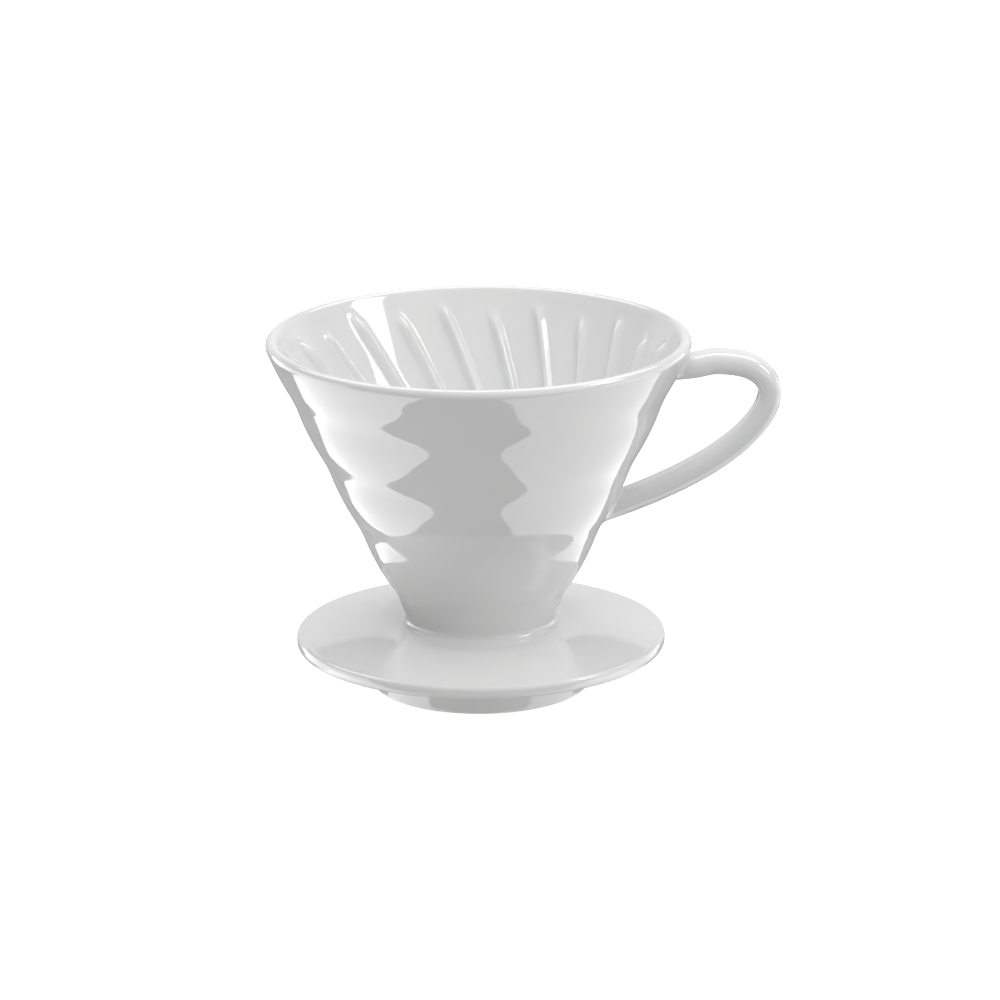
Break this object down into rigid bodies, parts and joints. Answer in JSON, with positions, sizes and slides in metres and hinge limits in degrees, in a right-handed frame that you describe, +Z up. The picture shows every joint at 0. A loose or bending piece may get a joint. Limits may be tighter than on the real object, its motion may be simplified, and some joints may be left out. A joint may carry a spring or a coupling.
{
  "type": "pour over dripper",
  "caption": "Glazed porcelain pour over coffee dripper: wavy-sided ribbed cone with a drip hole, round base plate with a foot ring, and a loop handle.",
  "frame": {"origin": "bottom centre of the bounding box, on the surface that the foot ring stands on; the cone's axis is the vertical line at x = -0.01265 m", "axes": "+Z up along the cone's axis, +X from the cone towards the handle, +Y to the left of someone looking along +X"},
  "size_m": [0.1452, 0.12, 0.102],
  "materials": {
    "glazed_porcelain": "clear gloss glaze over white porcelain",
    "foot_porcelain": "clear gloss glaze, wiped off the bottom rim, which is bare matt porcelain"
  },
  "bodies": {
    "root": {"cone_body": "glazed_porcelain", "handle": "glazed_porcelain", "base_plate": "glazed_porcelain", "foot_ring": "foot_porcelain", "neck_slip_bead": "glazed_porcelain", "spout_slip_bead": "glazed_porcelain", "foot_slip_bead": "glazed_porcelain", "handle_upper_slip_bead": "glazed_porcelain", "handle_lower_slip_bead": "glazed_porcelain"}
  },
  "joints": []
}
